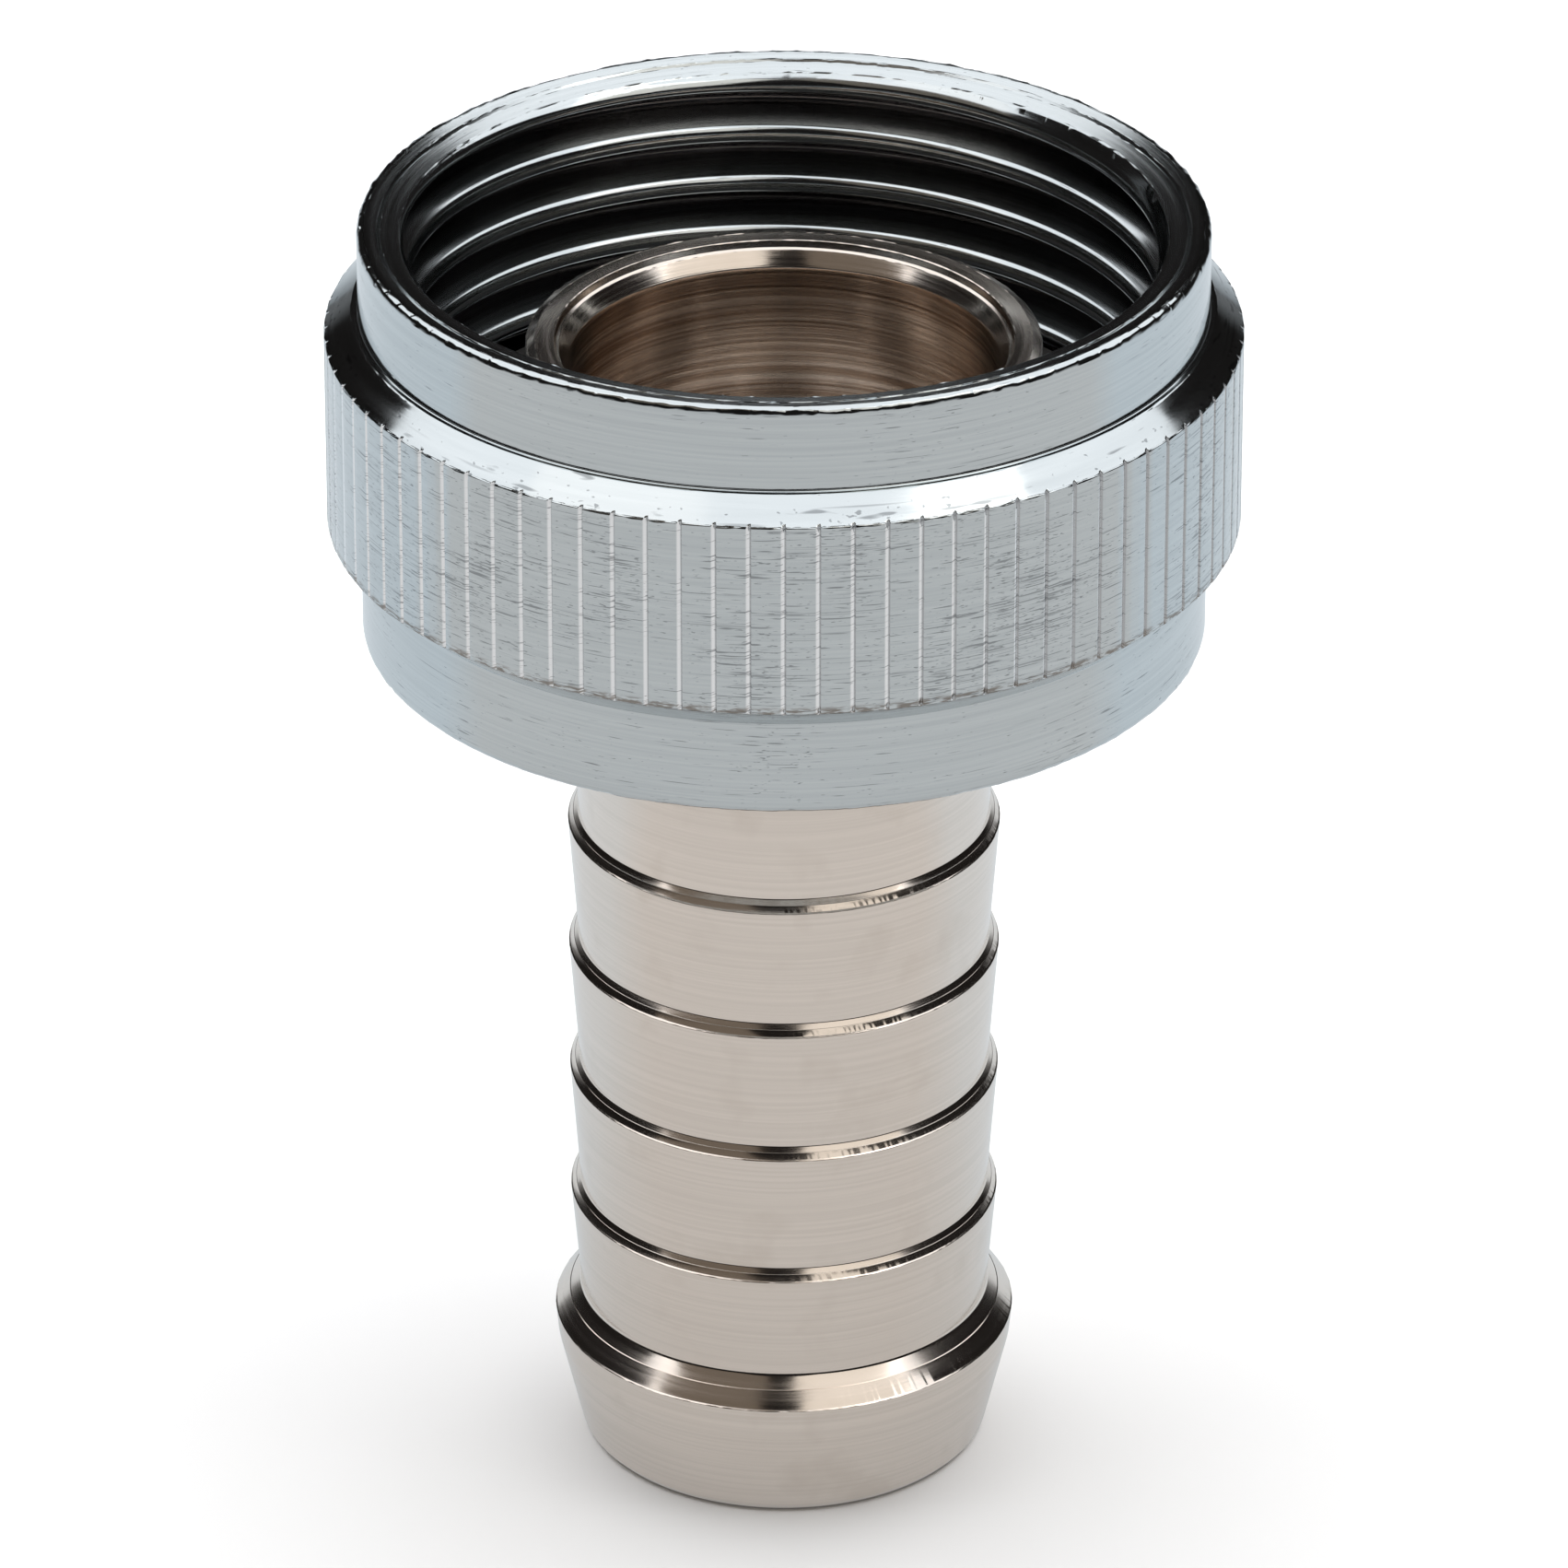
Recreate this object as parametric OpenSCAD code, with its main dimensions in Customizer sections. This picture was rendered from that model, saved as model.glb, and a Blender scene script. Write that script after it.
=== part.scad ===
// Hose union: a union nut with an internal pipe thread turns freely on a
// barbed hose tail, and draws it up against a flat sealing washer.
// Z = 0 is the tail's lower end, and Z is the axis that all three pieces share.

/* [Union nut, outside] */
// Wall of the two plain collars, outside the thread's grooves
collar_wall = 0.53; // [0.4:0.01:2]
// How far the knurled band stands out from the collars
knurl_rise = 1.1; // [0.6:0.05:3]
// Height of the collar below the knurled band
lower_collar_h = 3.0; // [2:0.1:5]
// Height of the collar above the knurled band
upper_collar_h = 2.85; // [1.5:0.05:6]
// Height of the knurled band between its two chamfers
knurl_h = 6.5; // [4:0.1:12]
// Height of the chamfer under the knurled band
lower_chamfer_h = 1.05; // [0.5:0.05:2]
// Height of the chamfer over the knurled band
upper_chamfer_h = 0.8; // [0.4:0.05:2]
// Width of the flat ledge at the foot of the upper collar
ledge_w = 0.25; // [0.1:0.05:0.5]
// Rounding of the rim's outer edge
rim_round = 0.18; // [0.05:0.01:0.4]
// Rounding of the nut's lower edge
foot_round = 0.3; // [0.1:0.05:0.8]

/* [Knurl] */
// Number of straight grooves round the band
groove_count = 85; // [40:1:110]
// Width of a groove at the surface
groove_w = 0.22; // [0.15:0.01:0.5]
// Depth of a groove
groove_depth = 0.1; // [0.05:0.01:0.3]

/* [Union nut, inside] */
// Minor diameter of the G 3/4 pipe thread
thread_bore_d = 24.12; // [22:0.01:40]
// Pitch of the thread, 14 to the inch
thread_pitch = 1.814; // [1.2:0.001:2.4]
// Where the thread's crest leaves the run-out, as an angle about the axis
thread_start = 163; // [0:1:359]
// How far the run-out is cut deeper than the thread
relief_extra = 0.1; // [0.05:0.01:0.2]
// Width of the flat lip on the rim
lip_w = 0.07; // [0.02:0.01:0.2]
// Depth of the dish between the lip and the mouth
dish_depth = 0.23; // [0.1:0.01:0.35]
// Width of the countersink at the mouth
mouth_w = 0.34; // [0.2:0.02:0.6]
// Depth of the countersink at the mouth
mouth_depth = 0.29; // [0.1:0.01:0.6]
// Thickness of the nut's floor
floor_t = 3.1; // [2:0.1:4]

/* [Hose tail, head] */
// Height of the flange's underside above the tail's lower end
flange_z = 33.2; // [31:0.1:50]
// Thickness of the flange that the nut pulls on
flange_t = 1.3; // [0.8:0.1:3]
// Outer diameter of the nose that stands above the flange
nose_d = 16.7; // [16.2:0.1:18]
// Height of the nose above the flange
nose_h = 5.6; // [3:0.1:8]
// Diameter of the wide bore in the nose
nose_bore_d = 13.85; // [12:0.05:14.8]
// Height of the wide bore's bottom above the flange's underside
nose_floor_t = 0.7; // [0.5:0.1:1.2]
// Width of the flat ring on top of the nose
nose_face_w = 0.9; // [0.3:0.05:1]

/* [Hose tail, shank] */
// Diameter of the waterway through the shank
bore_d = 10.5; // [8:0.1:11]
// Diameter of the neck and of the barbs' roots
neck_d = 13.6; // [12.6:0.05:15]
// How far the small barbs stand out from the neck
barb_rise = 0.32; // [0.15:0.01:0.8]
// Number of small barbs
barb_count = 4; // [1:1:5]
// Spacing of the barbs along the tail
barb_pitch = 4.59; // [3:0.01:5]
// Height of a small barb's shoulder
shoulder_h = 0.4; // [0.2:0.05:1]
// How far the last barb stands out from the neck
last_barb_rise = 0.87; // [0.5:0.01:1.4]
// Height of the last barb's edge above the lower end
last_barb_z = 4.4; // [3:0.1:6]
// Height of the last barb's shoulder
last_shoulder_h = 0.84; // [0.4:0.02:1.4]
// Height of the last barb's nearly straight land
land_h = 0.9; // [0.3:0.1:1.5]
// Diameter at the lower end, outside its rounded edge
end_d = 13.6; // [12:0.05:14]
// Rounding of the lower end's edge
end_round = 0.3; // [0.1:0.05:0.6]

/* [Sealing washer] */
// Thickness of the washer
washer_t = 1.5; // [1:0.1:3]

/* [Clearances] */
// Clearance between the last barb and the hole in the nut's floor
hole_clearance = 0.28; // [0.1:0.01:0.4]
// Clearance of the flange and the washer inside the thread
seat_clearance = 0.31; // [0.1:0.01:1]
// Axial play between the nut's floor and the flange
seat_play = 0.15; // [0.05:0.01:0.5]
// Clearance between the nose and the washer's hole
washer_clearance = 0.15; // [0.05:0.01:0.3]

/* [Hidden] */

$fn = 120;

// Points on a round edge
edge_steps = 4;
// How far a cutting tool stands proud of what it cuts
overcut = 1;
// Taper of the last barb's land, in radius
land_taper = 0.09;
// Small break on the outer edges of the nose, flange and bore
edge_break = 0.15;
// Height of the cone between the wide bore and the waterway
funnel_h = 0.6;
// Whitworth form as shares of the pitch: depth, and flats in place of its rounded crest and root
thread_form = 0.64;
flat_form = 1 / 6;
// Flat stretches in one turn of the thread
thread_columns = 60;
// Countersink of the nose's mouth
nose_sink_h = 0.45;

// Radii
thread_bore_r = thread_bore_d / 2;
thread_depth = thread_form * thread_pitch;
thread_root_r = thread_bore_r + thread_depth;
relief_r = thread_root_r + relief_extra;
collar_r = thread_root_r + collar_wall;
knurl_r = collar_r + knurl_rise;
dish_r = collar_r - rim_round - lip_w;
flange_r = thread_bore_r - seat_clearance;
nose_r = nose_d / 2;
neck_r = neck_d / 2;
barb_r = neck_r + barb_rise;
last_barb_r = neck_r + last_barb_rise;
floor_hole_r = last_barb_r + hole_clearance;
bore_r = bore_d / 2;
nose_bore_r = nose_bore_d / 2;

// Levels along the tail
flange_top_z = flange_z + flange_t;
nose_top_z = flange_top_z + nose_h;
wide_bore_z = flange_z + nose_floor_t;

// Levels along the nut, which the flange sets
floor_top_z = flange_z - seat_play;
nut_z = floor_top_z - floor_t;
lower_chamfer_z = nut_z + lower_collar_h;
knurl_z = lower_chamfer_z + lower_chamfer_h;
knurl_top_z = knurl_z + knurl_h;
ledge_z = knurl_top_z + upper_chamfer_h;
rim_z = ledge_z + upper_collar_h;
mouth_z = rim_z - dish_depth;

// Top of the run-out, which is as high as the thread's pitch
runout_z = floor_top_z + thread_pitch;

// Points along a round edge, from one angle to another
function arc(x, z, r, from, to) = [
    for (i = [0 : edge_steps])
        let (a = from + (to - from) * i / edge_steps)
        [x + r * cos(a), z + r * sin(a)]
];

// Union nut: collar, knurled band and collar, turned from one bar
module nut_blank() {
    rotate_extrude()
        polygon(concat(
            [[0, nut_z]],
            arc(collar_r - foot_round, nut_z + foot_round, foot_round, -90, 0),
            [
                [collar_r, lower_chamfer_z],
                [knurl_r, knurl_z],
                [knurl_r, knurl_top_z],
                [collar_r + ledge_w, ledge_z],
                [collar_r, ledge_z]
            ],
            arc(collar_r - rim_round, rim_z - rim_round, rim_round, 0, 90),
            [[0, rim_z]]
        ));
}

// Height of a crest at an angle, two turns and more below the run-out's top
function crest_z(a) = runout_z + thread_pitch * ((a - thread_start) / 360 - 2);

// Radius of the thread at a height above the middle of a crest
function thread_r(h) =
    let (away = abs(h / thread_pitch - round(h / thread_pitch)))
    thread_bore_r + thread_depth * min(1, max(0, (away - flat_form / 2) / (0.5 - flat_form)));

// Radius of the countersink at a height
function mouth_r(z) = thread_bore_r + mouth_w * (1 - (mouth_z - z) / mouth_depth);

// The thread's corners at an angle, held between the run-out and the dish
function thread_points(a, turns) = [
    for (turn = [0 : turns - 1], corner = [-flat_form, flat_form, 1 - flat_form, 1 + flat_form])
        let (z = min(mouth_z, max(runout_z, crest_z(a) + thread_pitch * (turn + corner / 2))))
        [max(thread_r(z - crest_z(a)), mouth_r(z)), z]
];

// What the nut's thread, run-out, mouth and dished rim are cut with: columns of points round the
// axis, where the last column meets the first one turn, which is four points, higher up
module thread_tap() {
    turns = ceil((mouth_z - runout_z) / thread_pitch + thread_start / 360 + 2.5);
    corners = 4;
    below = [[relief_r, floor_top_z], [relief_r, runout_z]];
    above = [[dish_r, rim_z], [dish_r, rim_z + overcut]];
    first = len(below);
    last = first + corners * turns - 1;
    rows = last + 1 + len(above);
    function at(column, row) =
        column < thread_columns ? column * rows + row :
        row < first || row > last ? row : min(row + corners, last);
    points = [
        for (column = [0 : thread_columns - 1])
            let (a = 360 * column / thread_columns)
            for (p = concat(below, thread_points(a, turns), above))
                [p.x * cos(a), p.x * sin(a), p.y]
    ];
    sides = [
        for (i = [0 : thread_columns - 1], k = [0 : rows - 2])
            each [
                [at(i, k), at(i, k + 1), at(i + 1, k + 1)],
                [at(i, k), at(i + 1, k + 1), at(i + 1, k)]
            ]
    ];
    ends = [
        [for (i = [0 : thread_columns - 1]) at(i, 0)],
        [for (i = [thread_columns - 1 : -1 : 0]) at(i, rows - 1)]
    ];
    polyhedron(points = points, faces = concat(sides, ends));
}

// One straight groove of the knurl, which runs out into both chamfers
module knurl_groove() {
    translate([0, 0, lower_chamfer_z])
        linear_extrude(ledge_z - lower_chamfer_z)
            polygon([
                [knurl_r - groove_depth, 0],
                [knurl_r + groove_depth, -groove_w],
                [knurl_r + groove_depth, groove_w]
            ]);
}

module union_nut() {
    color("silver")
        difference() {
            nut_blank();
            translate([0, 0, nut_z - overcut])
                cylinder(r = floor_hole_r, h = floor_t + 2 * overcut);
            thread_tap();
            for (i = [0 : groove_count - 1])
                rotate([0, 0, i * 360 / groove_count - 90])
                    knurl_groove();
        }
}

// Height of a small barb's edge, counted up from the last barb
function barb_z(i) = last_barb_z + i * barb_pitch;

// Hose tail: nose, flange, neck, small barbs and last barb, turned from one bar
module tail_blank() {
    rotate_extrude()
        polygon(concat(
            [
                [0, nose_top_z],
                [nose_r - edge_break, nose_top_z],
                [nose_r, nose_top_z - edge_break],
                [nose_r, flange_top_z],
                [flange_r - edge_break, flange_top_z],
                [flange_r, flange_top_z - edge_break],
                [flange_r, flange_z],
                [neck_r, flange_z]
            ],
            [
                for (i = [barb_count : -1 : 1])
                    each [[neck_r, barb_z(i) + shoulder_h], [barb_r, barb_z(i)]]
            ],
            [
                [neck_r, last_barb_z + last_shoulder_h],
                [last_barb_r, last_barb_z],
                [last_barb_r - land_taper, last_barb_z - land_h]
            ],
            arc(end_d / 2 - end_round, end_round, end_round, 0, -90),
            [[0, 0]]
        ));
}

// The waterway, with its wide mouth in the nose
module tail_bore() {
    translate([0, 0, -overcut])
        cylinder(r = bore_r, h = nose_top_z + 2 * overcut);
    translate([0, 0, wide_bore_z - funnel_h])
        cylinder(r1 = bore_r, r2 = nose_bore_r, h = funnel_h);
    translate([0, 0, wide_bore_z])
        cylinder(r = nose_bore_r, h = nose_top_z - wide_bore_z + overcut);
    translate([0, 0, nose_top_z - nose_sink_h])
        cylinder(r1 = nose_bore_r, r2 = nose_r - nose_face_w, h = nose_sink_h);
    translate([0, 0, -overcut])
        cylinder(r1 = bore_r + edge_break + overcut, r2 = bore_r, h = edge_break + overcut);
}

module hose_tail() {
    color("tan")
        difference() {
            tail_blank();
            tail_bore();
        }
}

// Flat rubber washer that lies on the flange round the nose
module sealing_washer() {
    color("dimgray")
        translate([0, 0, flange_top_z])
            difference() {
                cylinder(r = flange_r, h = washer_t);
                translate([0, 0, -overcut])
                    cylinder(r = nose_r + washer_clearance, h = washer_t + 2 * overcut);
            }
}

union_nut();
hose_tail();
sealing_washer();
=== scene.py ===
import math

import bmesh
import bpy
import numpy as np
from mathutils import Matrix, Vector, noise


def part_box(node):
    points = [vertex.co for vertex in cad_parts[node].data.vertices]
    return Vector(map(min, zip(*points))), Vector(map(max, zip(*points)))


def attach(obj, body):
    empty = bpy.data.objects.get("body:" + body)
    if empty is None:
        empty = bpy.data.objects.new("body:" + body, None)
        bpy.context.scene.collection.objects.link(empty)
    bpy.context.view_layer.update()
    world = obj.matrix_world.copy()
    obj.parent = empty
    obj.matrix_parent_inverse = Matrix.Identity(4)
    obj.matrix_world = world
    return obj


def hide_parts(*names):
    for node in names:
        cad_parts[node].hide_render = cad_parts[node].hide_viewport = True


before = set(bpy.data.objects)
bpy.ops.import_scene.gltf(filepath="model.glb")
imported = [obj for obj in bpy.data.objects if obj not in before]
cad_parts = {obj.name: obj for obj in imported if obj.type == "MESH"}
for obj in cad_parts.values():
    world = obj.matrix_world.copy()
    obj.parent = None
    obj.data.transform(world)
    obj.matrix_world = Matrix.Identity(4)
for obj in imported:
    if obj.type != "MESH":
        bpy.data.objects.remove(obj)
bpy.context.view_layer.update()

# All lengths in this file are millimetres until a mesh or an object is made
MM = 0.001


def level(node, corner, axis=2):
    """A coordinate of a node's box in the frame, in millimetres."""
    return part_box(node)[corner][axis] / MM


# Levels and radii that the frame gives
NUT_Z = level("union_nut", 0)
RIM_Z = level("union_nut", 1)
NOSE_TOP_Z = level("hose_tail", 1)
WASHER_Z = level("sealing_washer", 0)
WASHER_TOP_Z = level("sealing_washer", 1)
FLANGE_R = level("sealing_washer", 1, 0)

# Union nut, outside
KNURL_R = 14.85
COLLAR_R = 13.75
KNURL_H = 6.5
UPPER_COLLAR_H = 2.85
LOWER_CHAMFER_H = 0.9
UPPER_CHAMFER_H = 0.76
LEDGE_W = 0.2
FOOT_ROUND = 0.22
RIM_ROUND = 0.2
LEDGE_Z = RIM_Z - UPPER_COLLAR_H
KNURL_TOP_Z = LEDGE_Z - UPPER_CHAMFER_H
KNURL_Z = KNURL_TOP_Z - KNURL_H
LOWER_COLLAR_TOP_Z = KNURL_Z - LOWER_CHAMFER_H

# Knurl
GROOVE_COUNT = 85
# A groove's section: offset round the band and depth. One flank is steeper than the other.
GROOVE_SECTION = [(-0.12, 0), (-0.075, 0.022), (0, 0.052), (0.035, 0.064), (0.055, 0.03), (0.078, 0)]
STRIP_COLUMNS = 2
# How much deeper a groove is where it runs out into the chamfers, and how far that reaches
RUNOUT_DEPTH = 1.8
RUNOUT_REACH = 0.25
# Depths below the band at which the chamfers have a row
CHAMFER_ROWS = (0.13, 0.1, 0.07, 0.04)

# Union nut, inside: a G 3/4 thread of the Whitworth form, 14 to the inch
PITCH = 25.4 / 14
THREAD_BORE_R = 12.06
THREAD_DEPTH = 1.162
CREST_ROUND = 0.2 * PITCH
ROOT_ROUND = 0.08 * PITCH
# How far a crest's or a root's rounding turns before it meets the flank
FLANK_ANGLE = math.radians(62.5)
THREAD_ARC_STEPS = 2
# Height of one crest at the back, and the crests from below it to above it. Floor and mouth cut them off.
CREST_Z = 41.75
CRESTS = range(-5, 3)
RELIEF_H = PITCH
RELIEF_EXTRA = 0.1
RELIEF_R = THREAD_BORE_R + THREAD_DEPTH + RELIEF_EXTRA
MOUTH_R = 13.5
MOUTH_DEPTH = 0.52
DISH_R = 12.4
DISH_DEPTH = 0.23
LIP_EDGE = 0.06
# How steeply the thread's groove closes under the lip: radius for each millimetre of height
THREAD_END_SLOPE = 2
TOOL_MARK_R = 13.03
TOOL_MARK_DEPTH = 0.1
TOOL_MARK_W = 0.06
TOOL_MARK_ROUND = 0.015
FLOOR_T = 3.1
FLOOR_HOLE_R = 7.95
FLOOR_HOLE_ROUND = 0.2
FLOOR_TOP_Z = NUT_Z + FLOOR_T

# Hose tail, top: the nose, the flange and the wide bore
FLANGE_T = 1.3
FLANGE_ROUND = 0.1
NOSE_R = 8.35
NOSE_FACE_W = 0.9
NOSE_CHAMFER_W = 0.3
NOSE_CHAMFER_H = 0.12
# Corners of the small step inside the nose's face: how far in and how far down from the face's edge
NOSE_STEP = [(0.17, 0.27), (0.08, 0.22)]
NOSE_BORE_R = 6.925
NOSE_BORE_SINK = 0.75
NOSE_BORE_ROUND = 0.3
NOSE_FLOOR_T = 0.7
FUNNEL_H = 0.6
BORE_R = 5.25
BORE_CHAMFER = 0.15
FLANGE_Z = WASHER_Z - FLANGE_T
WIDE_BORE_Z = FLANGE_Z + NOSE_FLOOR_T

# Hose tail, below: the neck, four small barbs and the last barb
NECK_R = 6.8
BARB_R = 7.12
BARB_COUNT = 4
BARB_PITCH = 4.59
SHOULDER_H = 0.4
LAST_BARB_R = 7.67
LAST_BARB_Z = 4.4
LAST_SHOULDER_H = 0.95
# A shoulder's root rounding, as a share of its height, and a fine ring, as shares of its width and height
SHOULDER_ROOT = 0.2
SHOULDER_RING = [(0.42, 0.585), (0.45, 0.575), (0.5, 0.52)]
# The burr at a shoulder's edge
BURR_W = 0.05
BURR_H = 0.045
BURR_ROUND = 0.025
FINE_ROUND = 0.02
LAND_H = 0.9
LAND_TAPER = 0.09
LAND_ROUND = 1.8
END_R = 6.8
END_CHAMFER = 0.3
END_ROUNDS = (0.3, 0.2)

# Sealing washer
WASHER_GAP = 0.15
WASHER_ROUND = 0.15

# Half angle from which a corner counts as straight and isn't rounded
STRAIGHT = math.radians(89)
# Width of the narrow rows beside a dented corner, which keep the faces next to it true
GUARD = 0.03
# Noise scales of the long and the short dents in the corners, per millimetre, and what parts their seeds
LONG_DENTS = 1.3
SHORT_DENTS = 4.1
SHORT_SEED = 50

# Steps round the turned pieces
TAIL_COLUMNS = 540
WASHER_COLUMNS = 160
# Points nearer than this are one point, and edges shorter than this go
MERGE_GAP = 0.002
SHORTEST_EDGE = 0.001


def fillet(points, steps=3):
    """Rounds the corners of an outline of (r, z, rounding, nick) points.

    It returns (r, z, nick_r, nick_z) rows. The nick is how far, and which way, dents reach into a corner.
    """
    out = []
    for i, (x, z, size, nick) in enumerate(points):
        here = Vector((x, z))
        if size == 0 or i in (0, len(points) - 1):
            out.append((x, z, 0, 0))
            continue
        before = (Vector(points[i - 1][:2]) - here).normalized()
        after = (Vector(points[i + 1][:2]) - here).normalized()
        half = math.acos(max(-1, min(1, before.dot(after)))) / 2
        if half > STRAIGHT:
            out.append((x, z, 0, 0))
            continue
        inward = (before + after).normalized()
        start = here + before * (size / math.tan(half))
        end = here + after * (size / math.tan(half))
        centre = here + inward * (size / math.sin(half))
        a, b = start - centre, end - centre
        turn = math.atan2(a.x * b.y - a.y * b.x, a.dot(b))
        if nick:
            out.append((*(start + before * GUARD), 0, 0))
        for k in range(steps + 1):
            c, s = math.cos(turn * k / steps), math.sin(turn * k / steps)
            share = nick * math.sin(math.pi * k / steps)
            out.append((centre.x + a.x * c - a.y * s, centre.y + a.x * s + a.y * c,
                        inward.x * share, inward.y * share))
        if nick:
            out.append((*(end + after * GUARD), 0, 0))
    return out


def slopes(values, places):
    """How fast each column's values change round the axis, from the columns on either side."""
    ahead, behind = np.roll(values, -1, axis=0), np.roll(values, 1, axis=0)
    gap = np.mod(np.roll(places, -1) - np.roll(places, 1), 2 * math.pi)
    return (ahead - behind) / gap[:, None]


def surface_normals(angles, radii, heights, climbs):
    """Normals of the turned surface from its own columns and rows.

    Where the surface climbs in a turn, as a thread does, its end columns take their neighbours' slopes.
    """
    along_r = np.roll(radii, -1, axis=1) - np.roll(radii, 1, axis=1)
    along_z = np.roll(heights, -1, axis=1) - np.roll(heights, 1, axis=1)
    round_r, round_z = slopes(radii, angles), slopes(heights, angles)
    if climbs:
        round_r[[0, -1]] = round_r[[1, -2]]
        round_z[[0, -1]] = round_z[[1, -2]]
    radial = radii * along_z
    tangential = round_z * along_r - round_r * along_z
    axial = -radii * along_r
    cos, sin = np.cos(angles)[:, None], np.sin(angles)[:, None]
    normals = np.stack([radial * cos - tangential * sin, radial * sin + tangential * cos, axial], axis=2)
    length = np.linalg.norm(normals, axis=2, keepdims=True)
    return normals / np.maximum(length, 1e-12)


def turned(name, angles, radii, heights, marks=None, seam=None):
    """A closed solid from columns of a closed outline. radii and heights have one row for each angle.

    marks are values from -1 to 1: the material paints a highlight where they are 1 and shade where they are
    -1.
    seam says which row of the first column meets a row of the last one, where a thread has climbed by one
    turn.
    """
    columns, rows = radii.shape
    cos, sin = np.cos(angles)[:, None], np.sin(angles)[:, None]
    verts = np.stack([radii * cos, radii * sin, heights], axis=2).reshape(-1, 3) * MM
    normals = surface_normals(angles, radii, heights, seam is not None).reshape(-1, 3)
    faces = []
    for j in range(columns):
        last = j == columns - 1
        for i in range(rows):
            n = (i + 1) % rows
            a, b = (seam(i), seam(n)) if last and seam else (i, n)
            k = 0 if last else (j + 1) * rows
            faces.append((j * rows + i, k + a, k + b, j * rows + n))
    mesh = bpy.data.meshes.new(name)
    mesh.from_pydata(verts.tolist(), [], faces)
    kept = mesh.attributes.new("outline_normal", "FLOAT_VECTOR", "POINT")
    kept.data.foreach_set("vector", normals.ravel())
    # the groove attribute carries the painted highlight and painted shade of the knurl's flanks
    if marks is not None:
        groove = mesh.attributes.new("groove", "FLOAT", "POINT")
        groove.data.foreach_set("value", marks.ravel())
    piece = bpy.data.objects.new(name, mesh)
    bpy.context.collection.objects.link(piece)
    tidy = bmesh.new()
    tidy.from_mesh(mesh)
    bmesh.ops.remove_doubles(tidy, verts=tidy.verts, dist=MERGE_GAP * MM)
    bmesh.ops.dissolve_degenerate(tidy, edges=tidy.edges, dist=SHORTEST_EDGE * MM)
    bmesh.ops.recalc_face_normals(tidy, faces=tidy.faces)
    tidy.normal_update()
    stored = tidy.verts.layers.float_vector["outline_normal"]
    # copies, because what a layer gives is gone once its mesh is freed
    exact = [v[stored].copy() if v[stored].dot(v.normal) > 0 else -v[stored] for v in tidy.verts]
    tidy.to_mesh(mesh)
    tidy.free()
    mesh.attributes.remove(mesh.attributes["outline_normal"])
    mesh.shade_smooth()
    mesh.normals_split_custom_set_from_vertices(exact)
    return piece


def dents(angles, radius, seed):
    """Noise between about -1 and 1 round a circle: long waves with short dents."""
    out = []
    for a in angles:
        at = Vector((math.cos(a), math.sin(a), 0)) * radius
        long = noise.noise(at * LONG_DENTS + Vector((0, 0, seed)))
        short = noise.noise(at * SHORT_DENTS + Vector((0, 0, seed + SHORT_SEED)))
        out.append(long + short)
    return np.array(out)


def swept(rows, angles):
    """Radii and heights of an outline at each angle, with its corners dented from seeds of their own."""
    radii = np.tile([row[0] for row in rows], (len(angles), 1))
    heights = np.tile([row[1] for row in rows], (len(angles), 1))
    for i, (r, z, nick_r, nick_z) in enumerate(rows):
        if nick_r or nick_z:
            depth = dents(angles, r, round(7 * z) + round(3 * r))
            radii[:, i] += nick_r * depth
            heights[:, i] += nick_z * depth
    return radii, heights


def nut_columns():
    """Angles of the nut's columns, set close round each groove, and how deep the groove is at each."""
    first, last = GROOVE_SECTION[0][0], GROOVE_SECTION[-1][0]
    strip_w = 2 * math.pi * KNURL_R / GROOVE_COUNT + first - last
    strip = [(last + strip_w * k / (STRIP_COLUMNS + 1), 0) for k in range(1, STRIP_COLUMNS + 1)]
    angles, cuts = [], []
    for g in range(GROOVE_COUNT):
        middle = 2 * math.pi * g / GROOVE_COUNT - math.pi / 2
        for offset, depth in GROOVE_SECTION + strip:
            angles.append(middle + offset / KNURL_R)
            cuts.append(depth)
    return np.array(angles), np.array(cuts)


def dish_z(r):
    """Height of the dished rim at a radius."""
    return RIM_Z - DISH_DEPTH * (MOUTH_R - r) / (MOUTH_R - DISH_R)


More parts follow.
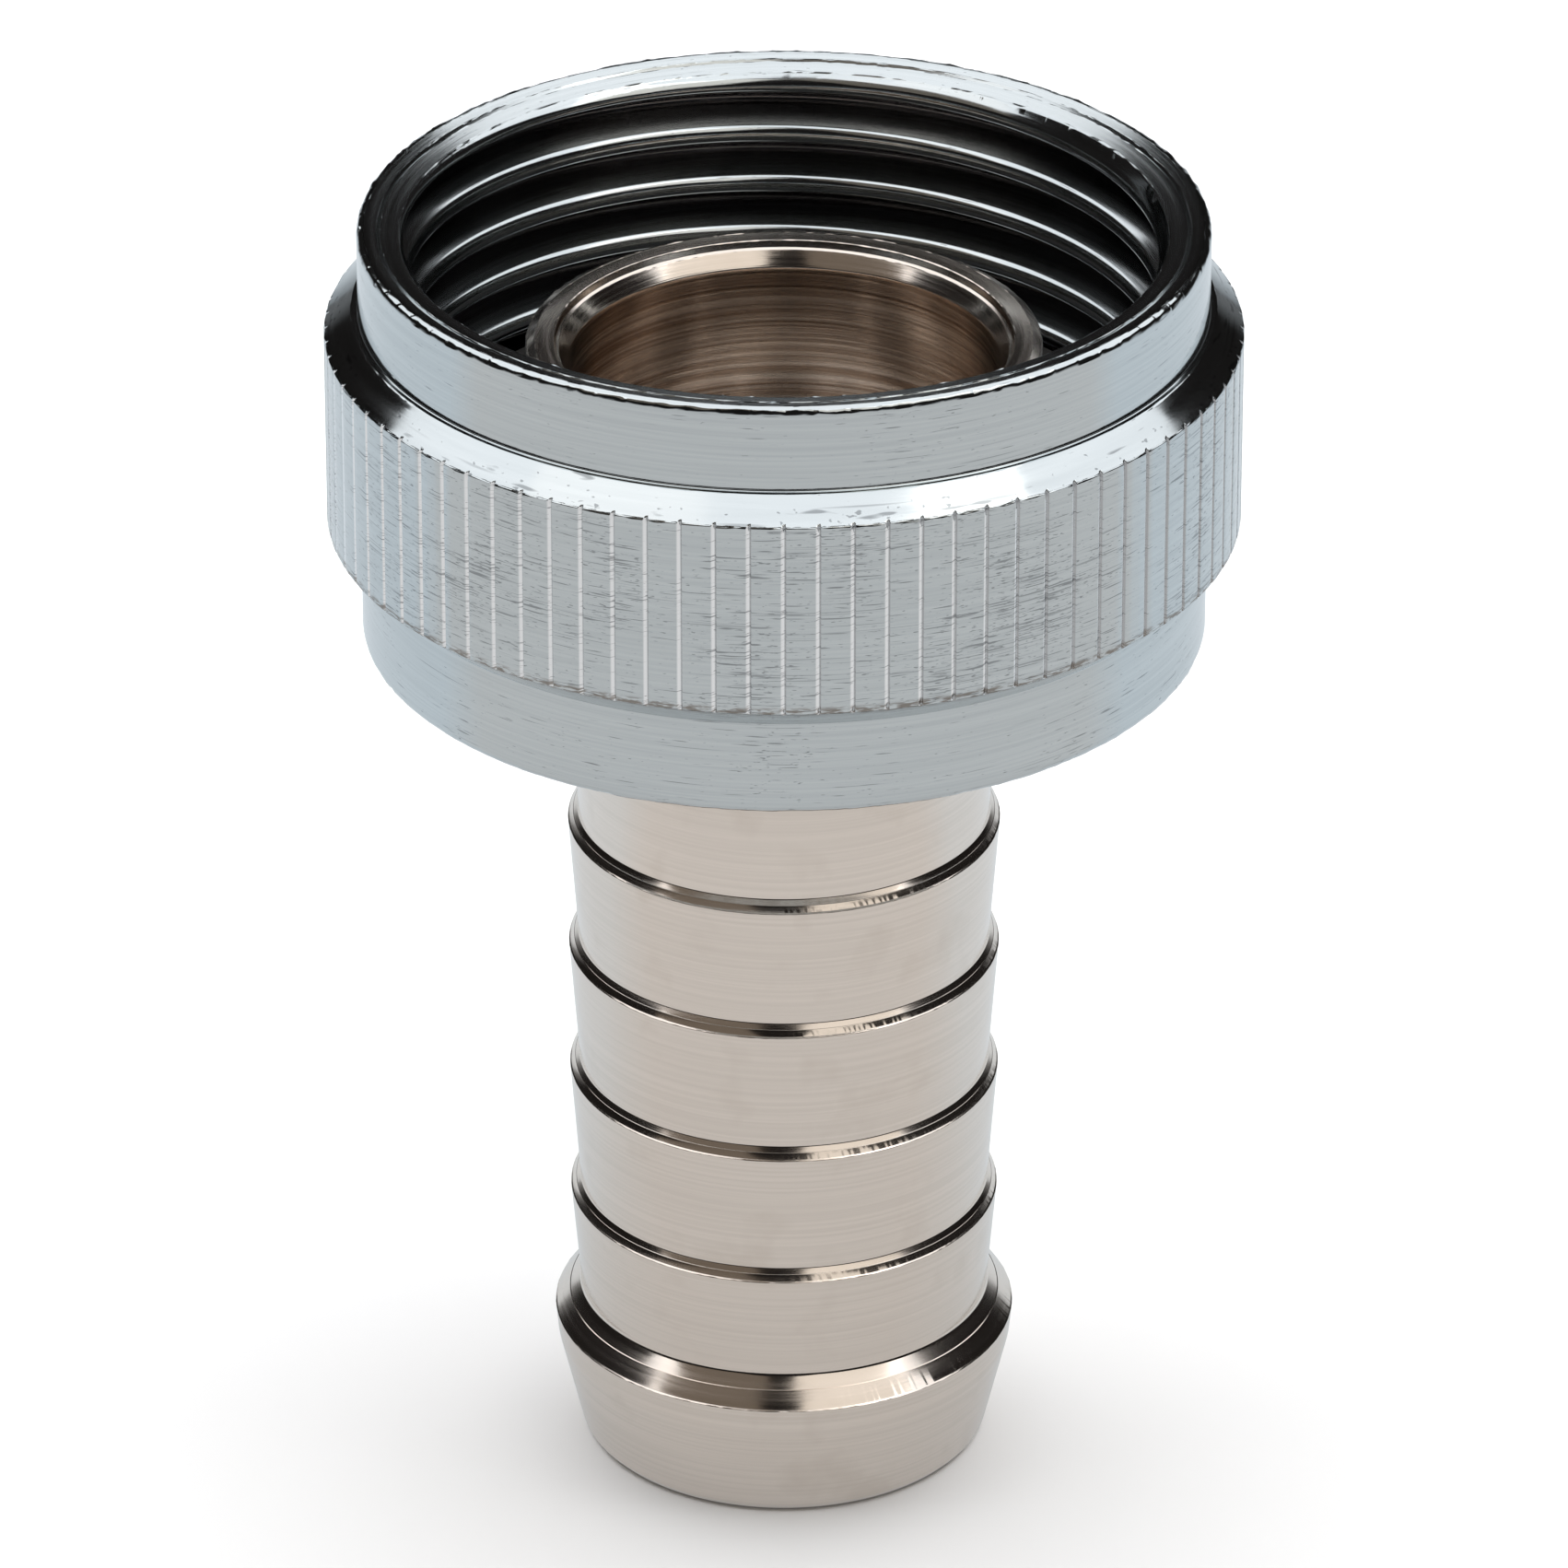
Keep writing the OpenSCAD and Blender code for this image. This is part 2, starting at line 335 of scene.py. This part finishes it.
def nut_outline():
    """The nut's outline, as (r, z, rounding, nick) points from its floor round its outside to its mouth."""
    slope = (KNURL_R - COLLAR_R) / LOWER_CHAMFER_H
    upper_slope = (KNURL_R - COLLAR_R - LEDGE_W) / UPPER_CHAMFER_H
    return [
        (FLOOR_HOLE_R, FLOOR_TOP_Z, 0, 0),
        (FLOOR_HOLE_R, NUT_Z, FLOOR_HOLE_ROUND, 0),
        (COLLAR_R, NUT_Z, FOOT_ROUND, 0.02),
        (COLLAR_R, LOWER_COLLAR_TOP_Z, 0.1, 0),
        *[(KNURL_R - d, KNURL_Z - d / slope, 0, 0) for d in CHAMFER_ROWS],
        (KNURL_R, KNURL_Z, 0.05, 0.02),
        (KNURL_R, KNURL_Z + RUNOUT_REACH, 0, 0),
        (KNURL_R, KNURL_TOP_Z - RUNOUT_REACH, 0, 0),
        (KNURL_R, KNURL_TOP_Z, 0.06, 0.03),
        *[(KNURL_R - d, KNURL_TOP_Z + d / upper_slope, 0, 0) for d in CHAMFER_ROWS[::-1]],
        (COLLAR_R + LEDGE_W, LEDGE_Z, 0.07, 0.01),
        (COLLAR_R, LEDGE_Z, 0.06, 0),
        (COLLAR_R, RIM_Z, RIM_ROUND, 0.05),
        (MOUTH_R, RIM_Z, 0.06, 0.02),
        (TOOL_MARK_R + TOOL_MARK_DEPTH, dish_z(TOOL_MARK_R + TOOL_MARK_DEPTH), TOOL_MARK_ROUND, 0.02),
        (TOOL_MARK_R, dish_z(TOOL_MARK_R) - TOOL_MARK_DEPTH, TOOL_MARK_ROUND, 0),
        (TOOL_MARK_R - TOOL_MARK_W, dish_z(TOOL_MARK_R - TOOL_MARK_W), TOOL_MARK_ROUND, 0.03),
        (DISH_R, dish_z(DISH_R), 0.05, 0.03),
        (DISH_R - LIP_EDGE, RIM_Z - DISH_DEPTH - LIP_EDGE, 0, 0),
    ]


def knurled(radii, heights, cuts):
    """The nut's radii with its grooves cut in, and marks for painted light: 1 in a groove, which gets a
    painted highlight, and -1 on its steep flank, which gets painted shade.
    """
    from_end = np.minimum(heights - KNURL_Z, KNURL_TOP_Z - heights)
    deeper = 1 + (RUNOUT_DEPTH - 1) * np.clip(1 - from_end / RUNOUT_REACH, 0, 1)
    groove = KNURL_R - cuts[:, None] * deeper
    band = (heights > LOWER_COLLAR_TOP_Z) & (heights < LEDGE_Z)
    grooved = band & (groove < radii)
    # painted highlight (1) on a groove's bottom and gentle flank, painted shade (-1) on its steep flank
    one_groove_light_and_shade = [-1.0 if offset > 0 else 1.0 for offset, depth in GROOVE_SECTION] + [1.0] * STRIP_COLUMNS
    marks = np.where(grooved, np.tile(one_groove_light_and_shade, GROOVE_COUNT)[:, None], 0.0)
    return np.where(grooved, groove, radii), marks


def thread_outline():
    """One pitch of the thread from a crest upwards, as (radius, height) pairs without its last point."""
    arcs = [(-1, THREAD_BORE_R, CREST_ROUND, 0), (1, THREAD_BORE_R + THREAD_DEPTH, ROOT_ROUND, PITCH / 2)]
    rows = []
    for side, edge, rounding, middle in arcs:
        for k in range(-THREAD_ARC_STEPS, THREAD_ARC_STEPS + 1):
            t = FLANK_ANGLE * k / THREAD_ARC_STEPS
            rows.append((edge - side * rounding * (1 - math.cos(t)), middle + rounding * math.sin(t)))
    return rows


def threaded(angles, one_turn, upper_end):
    """Radii and heights of the thread, whose rows follow its helix from the run-out to the dished mouth."""
    lower_end = FLOOR_TOP_Z + RELIEF_H
    helix = np.array([(r, CREST_Z + k * PITCH + z) for k in CRESTS for r, z in one_turn][::-1])
    lift = PITCH * ((angles - angles[0]) / (2 * math.pi) - 0.5)
    radii = np.tile(helix[:, 0], (len(angles), 1))
    heights = helix[:, 1][None, :] + lift[:, None]
    clamped = np.clip(heights, lower_end, upper_end)
    sink = (clamped - (RIM_Z - MOUTH_DEPTH)) / (MOUTH_DEPTH - DISH_DEPTH)
    cone = THREAD_BORE_R + (DISH_R - THREAD_BORE_R) * sink
    roof = DISH_R - LIP_EDGE + THREAD_END_SLOPE * (upper_end - clamped)
    radii = np.minimum(np.maximum(radii, cone), np.maximum(roof, cone))
    # rows past either end all meet it in one point, which closes the solid
    radii = np.where(heights >= upper_end, DISH_R - LIP_EDGE, radii)
    return np.where(heights <= lower_end, RELIEF_R, radii), clamped


def make_nut():
    """Union nut: outside with the knurl, and inside with the right-hand thread."""
    angles, cuts = nut_columns()
    rows = fillet(nut_outline())
    radii, heights = swept(rows, angles)
    radii, heights = np.minimum(radii, KNURL_R), np.clip(heights, NUT_Z, RIM_Z)
    radii, marks = knurled(radii, heights, cuts)
    one_turn = thread_outline()
    thread_r, thread_z = threaded(angles, one_turn, rows[-1][1])
    first, last = len(rows), len(rows) + thread_r.shape[1] - 1

    def seam(row):
        return max(first, row - len(one_turn)) if first <= row <= last else row

    # the last row is the corner between the run-out and the floor
    corner = np.ones((len(angles), 1))
    radii = np.hstack([radii, thread_r, RELIEF_R * corner])
    heights = np.hstack([heights, thread_z, FLOOR_TOP_Z * corner])
    marks = np.hstack([marks, np.zeros_like(thread_r), np.zeros_like(corner)])
    return turned("union_nut_chromed", angles, radii, heights, marks, seam)


def shoulder(root_r, edge_r, z, h, nick):
    """A barb's cone shoulder: its root, a fine ring half-way, and its edge with a small burr."""
    rise = edge_r - root_r
    return [
        (root_r, z + h, SHOULDER_ROOT * h, 0),
        *[(root_r + wide * rise, z + high * h, FINE_ROUND, 0) for wide, high in SHOULDER_RING],
        (edge_r - BURR_W, z + BURR_H, FINE_ROUND, 0),
        (edge_r, z, BURR_ROUND, nick),
    ]


def make_tail():
    """Hose tail: nose, flange, neck and barbs outside, and the waterway inside."""
    face_r = NOSE_R - NOSE_FACE_W
    outline = [
        (NOSE_BORE_R, WIDE_BORE_Z, 0, 0),
        (NOSE_BORE_R, NOSE_TOP_Z - NOSE_BORE_SINK, NOSE_BORE_ROUND, 0),
        *[(face_r - inward, NOSE_TOP_Z - down, FINE_ROUND, 0.01) for inward, down in NOSE_STEP],
        (face_r, NOSE_TOP_Z, 0.04, 0.02),
        (NOSE_R - NOSE_CHAMFER_W, NOSE_TOP_Z, 0.03, 0.02),
        (NOSE_R, NOSE_TOP_Z - NOSE_CHAMFER_H, 0.06, 0.03),
        (NOSE_R, WASHER_Z, 0, 0),
        (FLANGE_R, WASHER_Z, FLANGE_ROUND, 0),
        (FLANGE_R, FLANGE_Z, FLANGE_ROUND, 0),
        (NECK_R, FLANGE_Z, 0, 0),
    ]
    for i in range(BARB_COUNT, 0, -1):
        outline += shoulder(NECK_R, BARB_R, LAST_BARB_Z + i * BARB_PITCH, SHOULDER_H, 0.006)
    outline += shoulder(NECK_R, LAST_BARB_R, LAST_BARB_Z, LAST_SHOULDER_H, 0.01)
    outline += [
        (LAST_BARB_R - LAND_TAPER, LAST_BARB_Z - LAND_H, LAND_ROUND, 0),
        (END_R, END_CHAMFER, END_ROUNDS[0], 0),
        (END_R - END_CHAMFER, 0, END_ROUNDS[1], 0),
        (BORE_R + BORE_CHAMFER, 0, 0, 0),
        (BORE_R, BORE_CHAMFER, 0, 0),
        (BORE_R, WIDE_BORE_Z - FUNNEL_H, 0, 0),
    ]
    angles = np.linspace(0, 2 * math.pi, TAIL_COLUMNS, endpoint=False)
    radii, heights = swept(fillet(outline), angles)
    return turned("hose_tail_nickelled", angles, radii, heights)


def make_washer():
    """Flat washer with slightly rounded edges."""
    hole_r = NOSE_R + WASHER_GAP
    middle = (WASHER_Z + WASHER_TOP_Z) / 2
    rows = fillet([
        (hole_r, middle, 0, 0),
        (hole_r, WASHER_TOP_Z, WASHER_ROUND, 0),
        (FLANGE_R, WASHER_TOP_Z, WASHER_ROUND, 0),
        (FLANGE_R, WASHER_Z, WASHER_ROUND, 0),
        (hole_r, WASHER_Z, WASHER_ROUND, 0),
        (hole_r, middle, 0, 0),
    ])[:-1]
    angles = np.linspace(0, 2 * math.pi, WASHER_COLUMNS, endpoint=False)
    radii, heights = swept(rows, angles)
    return turned("sealing_washer_rubber", angles, radii, heights)


class Nodes:
    """Short calls for building a node tree."""

    def __init__(self, tree, coordinates):
        self.tree = tree
        self.place = self.add("ShaderNodeTexCoord").outputs[coordinates]
        split = self.add("ShaderNodeSeparateXYZ")
        self.link(self.place, split.inputs[0])
        self.x, self.y, self.z = split.outputs

    def add(self, kind, **settings):
        node = self.tree.nodes.new(kind)
        for key, value in settings.items():
            setattr(node, key, value)
        return node

    def link(self, source, target):
        self.tree.links.new(source, target)

    def math(self, operation, a, b=None):
        node = self.add("ShaderNodeMath", operation=operation)
        for socket, value in zip(node.inputs, (a, b)):
            if value is None:
                continue
            if isinstance(value, (int, float)):
                socket.default_value = value
            else:
                self.link(value, socket)
        return node.outputs[0]

    def product(self, first, *others):
        for other in others:
            first = self.math("MULTIPLY", first, other)
        return first

    def spread(self, value, low, high, to_low=0, to_high=1):
        """A value's range from low to high, spread over another range and held at its ends."""
        node = self.add("ShaderNodeMapRange")
        for socket, number in zip(list(node.inputs)[1:5], (low, high, to_low, to_high)):
            socket.default_value = number
        self.link(value, node.inputs[0])
        return node.outputs[0]

    def tint(self, factor, first, second):
        """The first colour where the factor is 0 and the second where it is 1."""
        node = self.add("ShaderNodeMix", data_type="RGBA")
        for name, colour in (("A", first), ("B", second)):
            if isinstance(colour, tuple):
                node.inputs[name].default_value = (*colour, 1)
            else:
                self.link(colour, node.inputs[name])
        self.link(factor, node.inputs["Factor"])
        return node.outputs["Result"]


class Paint(Nodes):
    """A material's node tree, with the place on its object and the distance from the Z axis, in metres."""

    def __init__(self, name):
        self.material = bpy.data.materials.new(name)
        self.material.use_nodes = True
        super().__init__(self.material.node_tree, "Object")
        self.shader = self.tree.nodes["Principled BSDF"]
        squares = self.math("ADD", self.product(self.x, self.x), self.product(self.y, self.y))
        self.radius = self.math("SQRT", squares)

    def noise(self, vector, scale, detail, roughness):
        texture = self.add("ShaderNodeTexNoise")
        texture.inputs["Scale"].default_value = scale
        texture.inputs["Detail"].default_value = detail
        texture.inputs["Roughness"].default_value = roughness
        self.link(vector, texture.inputs["Vector"])
        return texture.outputs["Fac"]

    def streaks(self, along, across, detail=3.0, roughness=0.6):
        """Noise drawn out round the turned axis. along and across are its scales, per metre."""
        by_height = self.product(self.z, 1.3 * across)
        by_radius = self.product(self.radius, 0.7 * across)
        join = self.add("ShaderNodeCombineXYZ")
        self.link(self.product(self.x, along), join.inputs[0])
        self.link(self.product(self.y, along), join.inputs[1])
        self.link(self.math("ADD", by_radius, by_height), join.inputs[2])
        return self.noise(join.outputs[0], 1, detail, roughness)

    def spots(self, scale, detail=2.0):
        return self.noise(self.place, scale, detail, 0.5)

    def step(self, value, low, high):
        """0 at the first length and 1 at the second one, in millimetres."""
        return self.spread(value, low * MM, high * MM)

    def between(self, value, low, high, soft):
        """1 where a value in metres lies between two lengths in millimetres, with soft ends."""
        return self.product(self.step(value, low - soft, low), self.step(value, high + soft, high))

    def bump(self, height, distance, below=None):
        """A bump of a given height in millimetres, on top of another one where there is one."""
        node = self.add("ShaderNodeBump")
        node.inputs["Strength"].default_value = 1
        node.inputs["Distance"].default_value = distance * MM
        self.link(height, node.inputs["Height"])
        if below is not None:
            self.link(below, node.inputs["Normal"])
        return node.outputs["Normal"]


# Heights of the turning lines, of the ridges in the wide bore and of the rubber's grain
LINE_BUMP = 0.0012
RIDGE_BUMP = 0.012
GRAIN_BUMP = 0.01

# Colours of the chromium plate, of the painted highlight and painted shade on a knurl groove's two flanks,
# of the painted shade in the thread, of scratches and of the brownish lower edges
CHROME = (0.575, 0.617, 0.632), (0.635, 0.678, 0.692)
GENTLE_FLANK_HIGHLIGHT = (0.95, 0.96, 0.97)
STEEP_FLANK_SHADE = (0.48, 0.49, 0.5)
THREAD_SHADE = (0.25, 0.25, 0.26)
SCRATCH = (0.12, 0.13, 0.14)
LOWER_EDGE_DARKENING = (0.2, 0.165, 0.135)

# Colours of the nickel plate, of its stains and of the wide bore, and of the rubber
NICKEL = (0.79, 0.713, 0.642), (0.85, 0.767, 0.694)
STAIN = (0.72, 0.638, 0.562)
BORED = (0.5, 0.39, 0.31), (1, 0.93, 0.86)
RUBBER = (0.012, 0.012, 0.012), (0.022, 0.021, 0.02)


def chrome():
    """Bright chromium plate over turned brass, scratched on the knurled band and darkened brownish at its
    lower edge and at the nut's foot.
    """
    n = Paint("chrome_plate_turned")
    lines = n.streaks(90, 6000)
    on_band = n.between(n.radius, KNURL_R - 0.35, KNURL_R + 1, 0.3)
    # dark marks are many on the band and few on the collars, and thicker in some places
    patches = n.product(n.math("SUBTRACT", n.spots(260, 1.0), 0.5), 0.22)
    more = n.math("ADD", n.product(on_band, 0.07), patches)

    def marks(along, across, low, high, most=1):
        return n.spread(n.math("ADD", n.streaks(along, across, 1.0, 0.5), more), low, high, 0, most)

    dashes = marks(700, 13000, 0.71, 0.77)
    specks = marks(3600, 16000, 0.73, 0.79)
    long_lines = marks(220, 15000, 0.72, 0.8, 0.7)
    scratches = n.math("MAXIMUM", n.math("MAXIMUM", dashes, specks), long_lines)
    groove = n.add("ShaderNodeAttribute", attribute_name="groove").outputs["Fac"]
    plate = n.tint(n.spread(lines, 0.35, 0.65), *CHROME)
    # painted light: a groove's bottom and gentle flank get a painted highlight, its steep flank painted
    # shade
    plate = n.tint(groove, plate, GENTLE_FLANK_HIGHLIGHT)
    plate = n.tint(n.spread(groove, 0, -1), plate, STEEP_FLANK_SHADE)
    # painted shade: the thread's grooves are darkened below its crests, under the lip and down to the floor
    below_crest = n.step(n.radius, THREAD_BORE_R + 0.15, THREAD_BORE_R + 0.75)
    inside = n.step(n.radius, RELIEF_R + 0.1, RELIEF_R)
    under_lip = n.step(n.z, RIM_Z - 0.5, RIM_Z - 0.9)
    above_floor = n.step(n.z, NUT_Z, FLOOR_TOP_Z)
    plate = n.tint(n.product(below_crest, inside, under_lip, above_floor), plate, THREAD_SHADE)
    plate = n.tint(n.product(scratches, 0.6), plate, SCRATCH)
    # brownish streaked darkening just above the lower edges of the band and of the nut
    band_edge = n.product(n.between(n.z, KNURL_Z - 0.1, KNURL_Z + 0.12, 0.15), on_band)
    foot = n.between(n.z, NUT_Z, NUT_Z + 0.04, 0.05)
    edges = n.math("MAXIMUM", band_edge, foot)
    lower_edge_darkening = n.product(n.spread(n.streaks(2200, 9000, 2.0, 0.6), 0.44, 0.58), edges, 0.8)
    n.link(n.tint(lower_edge_darkening, plate, LOWER_EDGE_DARKENING), n.shader.inputs["Base Color"])
    n.shader.inputs["Metallic"].default_value = 1
    # the thread is a little duller than the outside
    dull = n.product(n.between(n.radius, 0, RELIEF_R, 0.1), 0.04)
    n.link(n.math("ADD", n.spread(lines, 0.3, 0.7, 0.06, 0.13), dull), n.shader.inputs["Roughness"])
    n.link(n.bump(lines, LINE_BUMP), n.shader.inputs["Normal"])
    return n.material


def nickel():
    """Satin nickel plate: warm grey, with fine turning lines, coarser in the bore, and faint stains."""
    n = Paint("nickel_plate_satin")
    lines = n.streaks(60, 8000)
    stains = n.spread(n.spots(420, 3.0), 0.55, 0.7)
    ridges = n.streaks(20, 3000, 3.0, 0.7)
    inside = n.between(n.radius, 0, NOSE_BORE_R + 0.02, 0.02)
    in_bore = n.product(inside, n.between(n.z, FLANGE_Z, NOSE_TOP_Z, 0.1))
    grained = n.tint(n.spread(lines, 0.35, 0.65), *NICKEL)
    outside = n.tint(n.product(stains, 0.5), grained, STAIN)
    bored = n.tint(n.spread(ridges, 0.4, 0.6), *BORED)
    n.link(n.tint(in_bore, outside, bored), n.shader.inputs["Base Color"])
    n.shader.inputs["Metallic"].default_value = 1
    n.link(n.spread(lines, 0.3, 0.7, 0.1, 0.2), n.shader.inputs["Roughness"])
    turned_bore = n.bump(n.product(ridges, in_bore), RIDGE_BUMP)
    n.link(n.bump(lines, LINE_BUMP, turned_bore), n.shader.inputs["Normal"])
    return n.material


def rubber():
    """Matt black rubber with a fine moulded grain."""
    n = Paint("rubber_matt")
    grain = n.spots(9000, 3.0)
    n.link(n.tint(grain, *RUBBER), n.shader.inputs["Base Color"])
    n.shader.inputs["Roughness"].default_value = 0.75
    n.link(n.bump(grain, GRAIN_BUMP), n.shader.inputs["Normal"])
    return n.material


def dress(piece, body, node, material):
    """Gives a piece its material and its moving body, and hides the CAD node that it stands for."""
    piece.data.materials.append(material)
    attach(piece, body)
    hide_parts(node)


# Camera: read from the photograph's ellipses, in millimetres and degrees
CAMERA_DISTANCE = 400
CAMERA_ELEVATION = 27.53
CAMERA_TARGET_Z = 23.84
CAMERA_CLIP = (10, 20000)
SENSOR_W = 36
FOCAL_PIXELS = 13196
IMAGE_W = 1702


def make_camera():
    data = bpy.data.cameras.new("Camera")
    data.sensor_width = SENSOR_W
    data.lens = SENSOR_W * FOCAL_PIXELS / IMAGE_W
    data.clip_start, data.clip_end = CAMERA_CLIP[0] * MM, CAMERA_CLIP[1] * MM
    camera = bpy.data.objects.new("Camera", data)
    bpy.context.collection.objects.link(camera)
    tilt = math.radians(CAMERA_ELEVATION)
    back = Vector((0, -math.cos(tilt), math.sin(tilt)))
    camera.location = (Vector((0, 0, CAMERA_TARGET_Z)) + back * CAMERA_DISTANCE) * MM
    camera.rotation_euler = (-back).to_track_quat("-Z", "Y").to_euler()
    bpy.context.scene.camera = camera


# Floor: half its width, and its colour
FLOOR_HALF = 600
FLOOR_TONE = (0.94, 0.94, 0.94)

# Card that the metal reflects. Over its blend the front's colour turns into the back's.
CARD_R = 900
CARD_SIDES = 48
CARD_LIFT = 0.05
CARD_GLOW = 1.13
CARD_FRONT = (0.275, 0.275, 0.275)
CARD_BACK = (0.279, 0.3, 0.317)
CARD_BLEND = 9
# The card is at full tone out to the first radius, and at this share of it from the second
CARD_FADE_R = (150, 450)
CARD_RIM_TONE = 0.55

# The room's colours at the horizon and above it, and the sines of the heights between which they change
HORIZON_TONE = (0.15, 0.153, 0.157)
ROOM_TONE = (0.011, 0.01, 0.0095)
HORIZON_FADE = (0.01, 0.09)
# What the camera sees past the floor's edge
DISTANCE_TONE = (0.9, 0.9, 0.9)

# Softboxes: place, the point that each faces, width, depth, radiance, colour, and if the metal shows it
SOFTBOXES = {
    "top_softbox": ((0, 215, 500), (0, 215, 0), 1280, 830, 1.29, (0.97, 0.98, 1), True),
    "floor_fill": ((0, 200, 520), (0, 200, 0), 1280, 860, 1.25, (1, 1, 1), False),
    "front_right_softbox": ((212, -212, 400), (0, 0, 0), 390, 260, 0.97, (1, 0.95, 0.88), True),
    "front_left_glow": ((-230, -200, 400), (0, 0, 0), 400, 340, 0.16, (1, 0.85, 0.7), True),
}


def softbox(name, place, target, width, depth, radiance, colour, reflected):
    """A rectangular studio light."""
    data = bpy.data.lights.new(name, "AREA")
    data.shape = "RECTANGLE"
    data.size, data.size_y = width * MM, depth * MM
    data.energy = radiance * math.pi * width * depth * MM * MM
    data.color = colour
    light = bpy.data.objects.new(name, data)
    bpy.context.collection.objects.link(light)
    light.location = Vector(place) * MM
    light.rotation_euler = (Vector(target) - Vector(place)).to_track_quat("-Z", "Y").to_euler()
    light.visible_glossy = reflected


def sheet(name, corners, height):
    """A flat polygon of the studio, with its corners in millimetres."""
    mesh = bpy.data.meshes.new(name)
    mesh.from_pydata([(x * MM, y * MM, height * MM) for x, y in corners], [], [tuple(range(len(corners)))])
    flat = bpy.data.objects.new(name, mesh)
    bpy.context.collection.objects.link(flat)
    return flat


def make_floor():
    """Plain pale floor. The metal doesn't see it: it sees the card."""
    sides = ((-1, -1), (1, -1), (1, 1), (-1, 1))
    floor = sheet("floor", [(x * FLOOR_HALF, y * FLOOR_HALF) for x, y in sides], 0)
    n = Paint("floor_paint")
    n.shader.inputs["Base Color"].default_value = (*FLOOR_TONE, 1)
    n.shader.inputs["Roughness"].default_value = 0.9
    n.shader.inputs["Specular IOR Level"].default_value = 0.1
    floor.data.materials.append(n.material)
    floor.visible_glossy = False


def make_card():
    """A softly lit round card just above the floor, which shows only in the metal and dims outwards."""
    turns = [2 * math.pi * k / CARD_SIDES for k in range(CARD_SIDES)]
    card = sheet("card", [(CARD_R * math.cos(a), CARD_R * math.sin(a)) for a in turns], CARD_LIFT)
    n = Paint("card_paint")
    back = n.step(n.y, -CARD_BLEND, CARD_BLEND)
    fade = n.spread(n.radius, CARD_FADE_R[0] * MM, CARD_FADE_R[1] * MM, 1, CARD_RIM_TONE)
    colour = n.tint(fade, (0, 0, 0), n.tint(back, CARD_FRONT, CARD_BACK))
    n.link(colour, n.shader.inputs["Base Color"])
    n.link(colour, n.shader.inputs["Emission Color"])
    n.shader.inputs["Emission Strength"].default_value = CARD_GLOW
    n.shader.inputs["Roughness"].default_value = 0.9
    card.data.materials.append(n.material)
    card.visible_camera = False
    card.visible_diffuse = False
    card.visible_shadow = False


def make_distance():
    """A dark room with a soft horizon for the metal to reflect, and a pale distance behind the floor."""
    world = bpy.data.worlds.new("studio")
    bpy.context.scene.world = world
    world.use_nodes = True
    n = Nodes(world.node_tree, "Generated")
    room = n.tree.nodes["Background"]
    n.link(n.tint(n.spread(n.z, *HORIZON_FADE), HORIZON_TONE, ROOM_TONE), room.inputs["Color"])
    pale = n.add("ShaderNodeBackground")
    pale.inputs["Color"].default_value = (*DISTANCE_TONE, 1)
    choose = n.add("ShaderNodeMixShader")
    n.link(n.add("ShaderNodeLightPath").outputs["Is Camera Ray"], choose.inputs[0])
    n.link(room.outputs[0], choose.inputs[1])
    n.link(pale.outputs[0], choose.inputs[2])
    n.link(choose.outputs[0], n.tree.nodes["World Output"].inputs["Surface"])


def make_studio():
    make_floor()
    make_card()
    make_distance()
    for name, settings in SOFTBOXES.items():
        softbox(name, *settings)
    bpy.context.scene.view_settings.view_transform = "Standard"


nut = make_nut()
tail = make_tail()
washer = make_washer()
dress(nut, "nut", "union_nut", chrome())
dress(tail, "tail", "hose_tail", nickel())
dress(washer, "tail", "sealing_washer", rubber())
make_camera()
make_studio()
